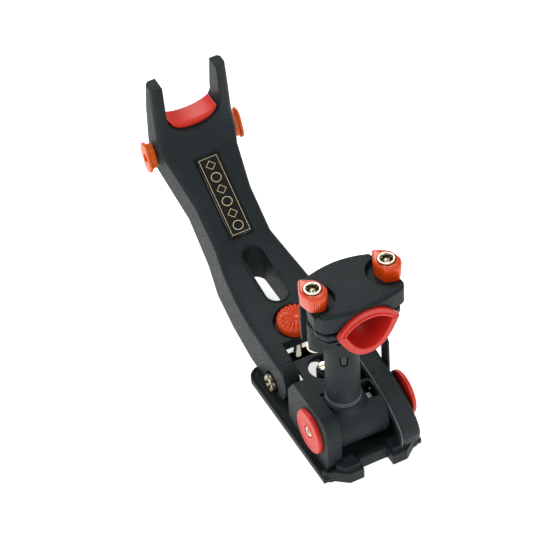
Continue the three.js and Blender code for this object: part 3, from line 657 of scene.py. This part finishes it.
@dataclass
class Lever(Assembly):
    """Lock lever with a beaded edge and a pebbled crown."""

    crown: tuple[tuple[float, float], ...] = (
        (2, 57.4), (-7, 55.6), (-26, 53), (-43, 49.4), (-60, 41.6), (-69.4, 34.6), (-74, 26.2), (-73.4, 16))
    inside: float = 20.5
    outside: float = 39.0
    thick: float = 5.0

    def path(self, t: float) -> tuple[Vector, Vector]:
        """Gives the crown line's point and its outward direction.

        Args:
            t: The share of the way from the tail to the lip.

        Returns:
            The point and the direction, both across the lever's width.
        """
        points = [Vector((0, *p)) for p in self.crown]
        points = [points[0] * 2 - points[1], *points, points[-1] * 2 - points[-2]]
        s = t * (len(self.crown) - 1)
        i = min(int(s), len(self.crown) - 2)
        u = s - i
        a, b, c, d = points[i : i + 4]
        bend, twist = 2 * a - 5 * b + 4 * c - d, 3 * b - a - 3 * c + d
        place = 0.5 * (2 * b + (c - a) * u + bend * u * u + twist * u**3)
        along = 0.5 * ((c - a) + 2 * bend * u + 3 * twist * u * u)
        along.normalize()
        return place, Vector((0, along.z, -along.y))

    def section(self) -> list[tuple[float, float]]:
        """Gives the lever's cross-section: place across the width, and height above the crown line."""
        a, b, t = self.inside, self.outside, self.thick
        bead = [(a, -2.4), (a, -0.9), (a + 0.3, -0.3), (a + 0.9, -0.05), (a + 1.5, -0.25), (a + 1.9, -0.9),
                (a + 2.3, -1.4)]
        top = [(a + 3.4, -1.3), (a + 6, -1.1), (a + 9, -0.95), (b - 6, -0.95), (b - 3, -1.05),
               (b - 1.4, -1.3), (b - 0.4, -1.9), (b, -2.6)]
        under = [(b, -t + 0.8), (b - 0.8, -t), (a + 0.8, -t), (a, -t + 0.8)]
        return bead + top + under

    def build(self) -> None:
        """Builds and dresses the lever."""
        rows = []
        steps = 46
        for i in range(steps + 1):
            t = i / steps
            place, out = self.path(t)
            lip = 0.5 * math.exp(-((t - 0.9) / 0.012) ** 2)
            rows.append([Vector((x, 0, 0)) + place + out * (h + (lip if -1.6 < h < -0.94 else 0))
                         for x, h in self.section()])
        strap = Blank("lever_strap").rings(rows)
        # a round bead along the inner edge, painted pale as a highlight
        strips = []
        for i in range(steps - 1):
            place, out = self.path((i + 1) / steps)
            turns = [2 * math.pi * k / 10 for k in range(10)]
            strips.append([Vector((self.inside + 1.1 + 0.75 * math.cos(a), 0, 0)) + place
                           + out * (0.75 * math.sin(a) - 0.75) for a in turns])
        Blank("lever_bead").rings(strips).finish(PAINTED_HIGHLIGHT, Body.LEVER)
        eye = [(2.1, 20.6), (4.4, 20.6), (4.7, 20.9), (4.7, 25.1), (4.4, 25.4), (2.1, 25.4)]
        web = [(20.7, -8.4, 47.2), (20.7, 0.4, 47.2), (20.7, 1.2, 53.6), (20.7, -9.4, 52.4)]
        hub = Blank("hub").turned(eye, (0, -4, 44.5), "x", 28)
        hub.join(Blank("web").slab(web, (4.6, 0, 0)).soften(0.3))
        strap.join(hub).finish(HIDE, Body.LEVER, "lock_lever")
        self.dress(SMOOTH, "brake_shoe")


@dataclass
class Arm(Assembly):
    """Arm with its fork, pad, slot lip, name plate and side knobs."""

    crown: tuple[tuple[float, float], ...] = (
        (16, 44.8), (48, 48.4), (78, 50.6), (105, 54), (133, 59), (154, 66.2))
    slot: tuple[float, float, float] = (98, 137, 9.4)
    plate: tuple[float, float] = (187.4, 87.9)
    tilt: float = math.atan2(43, 66)

    def build(self) -> None:
        """Builds and dresses the arm."""
        self.mould(NYLON, Body.ARM, 0.9, "arm")
        self.slot_lip()
        self.name_plate()
        self.mould(ELASTOMER, Body.ARM, 0.9, "fork_pad")
        self.dress(NICKEL, "side_stud")
        self.side_knob(-1, "left", Body.LEFT_SIDE)
        self.side_knob(1, "right", Body.RIGHT_SIDE)

    def height(self, y: float) -> float:
        """Gives the height of the arm's crown.

        Args:
            y: The place along the arm.

        Returns:
            The height in millimetres.
        """
        for (y0, z0), (y1, z1) in zip(self.crown, self.crown[1:]):
            if y <= y1:
                return z0 + (z1 - z0) * (y - y0) / (y1 - y0)
        return self.crown[-1][1]

    def slot_lip(self) -> None:
        """Builds the raised lip round the long slot."""
        front, rear, r = self.slot
        steps = 64

        def loop(radius: float, rise: float) -> list[Vector]:
            out = []
            for i in range(steps):
                a = 2 * math.pi * (i + 0.5) / steps
                y = (rear if math.sin(a) > 0 else front) + radius * math.sin(a)
                out.append(Vector((radius * math.cos(a), y, self.height(y) + rise)))
            return out

        section = ((0.05, -1.2), (0.05, 0.35), (0.4, 0.75), (1.1, 0.8), (1.6, 0.45), (1.75, -1.2))
        loops = [loop(r + out, rise) for out, rise in section]
        Blank("slot_lip").rings(loops, closed=True).finish(NYLON, Body.ARM)

    def on_plate(self, x: float, along: float, rise: float) -> Vector:
        """Gives a point on the name plate's plane.

        Args:
            x: The place across the plate.
            along: The place along the plate, from its middle towards the fork.
            rise: The height above the crown.

        Returns:
            The point.
        """
        c, s = math.cos(self.tilt), math.sin(self.tilt)
        return Vector((x, self.plate[0] + along * c - rise * s, self.plate[1] + along * s + rise * c))

    def loop_on_plate(self, points: Iterable[tuple[float, float]], rise: float) -> list[Vector]:
        """Gives a loop of points on the plate's plane.

        Args:
            points: Places across and along the plate.
            rise: The height above the crown.

        Returns:
            The points, in order.
        """
        return [self.on_plate(x, along, rise) for x, along in points]

    def name_plate(self) -> None:
        """Builds the plaque with its sloped rim, a foil line and a plain stamped pattern."""
        def corners(half_w: float, half_l: float) -> list[tuple[float, float]]:
            return [(half_w, -half_l), (half_w, half_l), (-half_w, half_l), (-half_w, -half_l)]

        levels = [(10.35, 36.45, -0.6), (10.35, 36.45, 0.35), (10.0, 36.1, 0.8), (9.0, 35.1, 1.15),
                  (8.4, 34.5, 1.2)]
        plaque = Blank("plaque").rings([self.loop_on_plate(corners(w, length), z) for w, length, z in levels])
        plaque.finish(SMOOTH, Body.ARM, "name_plate", smooth=50)
        line = [(8.3, 34.4, 1.1), (8.3, 34.4, 1.36), (7.9, 34.0, 1.36), (7.9, 34.0, 1.1)]
        Blank("plaque_line").rings([self.loop_on_plate(corners(w, length), z) for w, length, z in line],
                                   closed=True).finish(GILT, Body.ARM)
        # plain pattern: outlined rings and lozenges, one under the other
        marks = Blank("plaque_marks")
        for i in range(6):
            marks.join(self.mark(-27.5 + 11 * i, 4 if i % 2 else 28))
        marks.finish(GILT, Body.ARM)

    def mark(self, along: float, sides: int) -> Blank:
        """Builds one outlined mark.

        Args:
            along: The mark's place along the plaque.
            sides: The number of its sides.

        Returns:
            The blank.
        """
        def outline(half_w: float, half_l: float) -> list[tuple[float, float]]:
            turns = [2 * math.pi * i / sides for i in range(sides)]
            return [(half_w * math.cos(a), along + half_l * math.sin(a)) for a in turns]

        levels = [(4.6, 4.2, 1.1), (4.6, 4.2, 1.34), (4.0, 3.6, 1.34), (4.0, 3.6, 1.1)]
        loops = [self.loop_on_plate(outline(w, h), z) for w, h, z in levels]
        return Blank("mark").rings(loops, closed=True)

    def side_knob(self, side: int, name: str, body: Body) -> None:
        """Builds a wing knob on the side stud, with a flared lip.

        Args:
            side: -1 on the left, 1 on the right.
            name: The side's name.
            body: The body it rides on.
        """
        def plan(a: float) -> float:
            along = abs(math.cos(a - 1.15))
            return 6.6 + 7.2 * along**3 + (0.22 * math.cos(a * 40) if 0.3 < along < 0.9 else 0)

        centre = (0, 243, 106)
        levels = [(0.7, 35.7), (0.8, 36.4), (0.84, 40.6), (0.97, 41.4), (1.0, 42.2), (1.0, 43.2),
                  (0.95, 43.9), (0.8, 44.05)]
        loops = [ring(centre, lambda a, s=s: plan(a) * s, x, 72, "x") for s, x in levels]
        loops += [ring(centre, r, x, 72, "x") for r, x in ((4.2, 43.9), (3.4, 43.2), (3.4, 35.7))]
        grip = Blank(f"{name}_side_grip").rings(loops, closed=True).mirrored(side)
        grip.finish(ORANGE, body, f"{name}_side_knob")


@dataclass
class Pivot(Assembly):
    """Bolt, washers and castle nut that the arm turns on."""

    def build(self) -> None:
        """Builds and dresses the pivot."""
        self.mould(NICKEL, Body.BASE, 0.3, "left_pivot_nut", "left_pivot_bolt", "right_pivot_bolt")
        self.dress(NICKEL, "left_pivot_washer", "right_pivot_washer")


@dataclass
class Adjuster(Assembly):
    """Dial with petal ribs, its retainer and the jack screw."""

    centre: Point = (0, 64, 0)
    petals: int = 22

    def build(self) -> None:
        """Builds and dresses the adjuster."""
        steps = self.petals * 6

        def loop(radius: float, z: float, dip: float) -> list[Vector]:
            def place(a: float) -> float:
                return radius - dip * 0.5 * (0.5 - 0.5 * math.cos(a * self.petals)) ** 2

            points = ring(self.centre, place, z, steps)
            for i, p in enumerate(points):
                wave = (0.5 - 0.5 * math.cos(2 * math.pi * i / steps * self.petals)) ** 2
                p.z -= dip * wave
            return points

        # the petalled top, its rim, and the plain hub below with the screw's bore
        top = [(0.3, 54.9, 0), (1.6, 54.9, 0), (2.4, 55.4, 0.2), (4.5, 56.1, 0.8), (8, 56.4, 1.3),
               (11.5, 56.2, 1.5), (13.8, 55.4, 1.4), (15.3, 53.6, 0.9)]
        rim = [(15.9, 51.4, 0.5), (15.9, 47.0, 0.5), (15.4, 46.3, 0.1)]
        hub = [(6.0, 46.3, 0), (5.9, 34.2, 0), (4.3, 34.2, 0), (4.3, 52.5, 0), (0.3, 52.5, 0)]
        petals = Blank("dial_petals").rings([loop(*row) for row in (*top, *rim, *hub)])
        petals.finish(ACETAL, Body.DIAL, "angle_dial", smooth=60)
        self.dress(BLUED, "dial_retainer")
        self.dress(NICKEL, "jack_screw")


# ---- stage --------------------------------------------------------------------------
@dataclass
class Stage:
    """Pale floor, soft lights and the camera."""

    place: Point = (-0.863843, -1.734786, 2.128497)
    azimuth: float = -25.124
    elevation: float = 45.331
    roll: float = -3.623
    lens: float = 236.25

    def floor(self) -> None:
        """Builds the plain pale floor."""
        bm = bmesh.new()
        bmesh.ops.create_grid(bm, x_segments=1, y_segments=1, size=6)
        bmesh.ops.translate(bm, vec=(0, 0, -0.0004), verts=bm.verts)
        mesh = bpy.data.meshes.new("floor")
        bm.to_mesh(mesh)
        bm.free()
        # matt white board, lit from behind so that it stays white under the object
        paper = bpy.data.materials.new("white_board")
        paper.use_nodes = True
        shader = paper.node_tree.nodes["Principled BSDF"]
        shader.inputs["Base Color"].default_value = linear("f7f7f7")
        shader.inputs["Roughness"].default_value = 0.9
        shader.inputs["Specular IOR Level"].default_value = 0.1
        shader.inputs["Emission Color"].default_value = linear("ffffff")
        shader.inputs["Emission Strength"].default_value = 0.72
        mesh.materials.append(paper)
        plane = bpy.data.objects.new("floor", mesh)
        bpy.context.scene.collection.objects.link(plane)

    def lights(self) -> None:
        """Adds large soft lights and a pale surround, toned plainly so that white stays white."""
        bpy.context.scene.view_settings.view_transform = "Standard"
        world = bpy.data.worlds.new("surround")
        bpy.context.scene.world = world
        world.use_nodes = True
        ground = world.node_tree.nodes["Background"]
        ground.inputs["Color"].default_value = linear("fbfbfb")
        ground.inputs["Strength"].default_value = 0.34
        lamps = (("key", (-1.7, -0.6, 1.9), 1.0, 22), ("fill", (1.0, -1.6, 1.5), 1.2, 13),
                 ("rim", (0.2, 1.5, 1.8), 1.2, 24))
        for name, place, size, power in lamps:
            lamp = bpy.data.lights.new(name, "AREA")
            lamp.size, lamp.energy = size, power
            light = bpy.data.objects.new(name, lamp)
            aim = Vector((0, 0.06, 0.06)) - Vector(place)
            turn = aim.to_track_quat("-Z", "Y").to_matrix().to_4x4()
            light.matrix_world = Matrix.Translation(place) @ turn
            bpy.context.scene.collection.objects.link(light)

    def camera(self) -> None:
        """Adds the camera and makes it the scene's."""
        data = bpy.data.cameras.new("camera")
        data.lens, data.sensor_width, data.clip_start, data.clip_end = self.lens, 36.0, 0.1, 30.0
        view = bpy.data.objects.new("camera", data)
        turn = (Matrix.Rotation(math.radians(self.azimuth), 4, "Z")
                @ Matrix.Rotation(math.radians(90 - self.elevation), 4, "X")
                @ Matrix.Rotation(math.radians(self.roll), 4, "Z"))
        view.matrix_world = Matrix.Translation(self.place) @ turn
        bpy.context.scene.collection.objects.link(view)
        bpy.context.scene.camera = view

    def build(self) -> None:
        """Sets the stage."""
        self.floor()
        self.lights()
        self.camera()


def main() -> None:
    """Builds every assembly in order."""
    logging.basicConfig(level=logging.INFO, format="%(name)s %(message)s")
    for part in (Stage(), Base(), Drum(), Post(), Jaw(), Lever(), Arm(), Pivot(), Adjuster()):
        LOG.info("building %s", type(part).__name__)
        part.build()


if __name__ == "__main__":
    main()
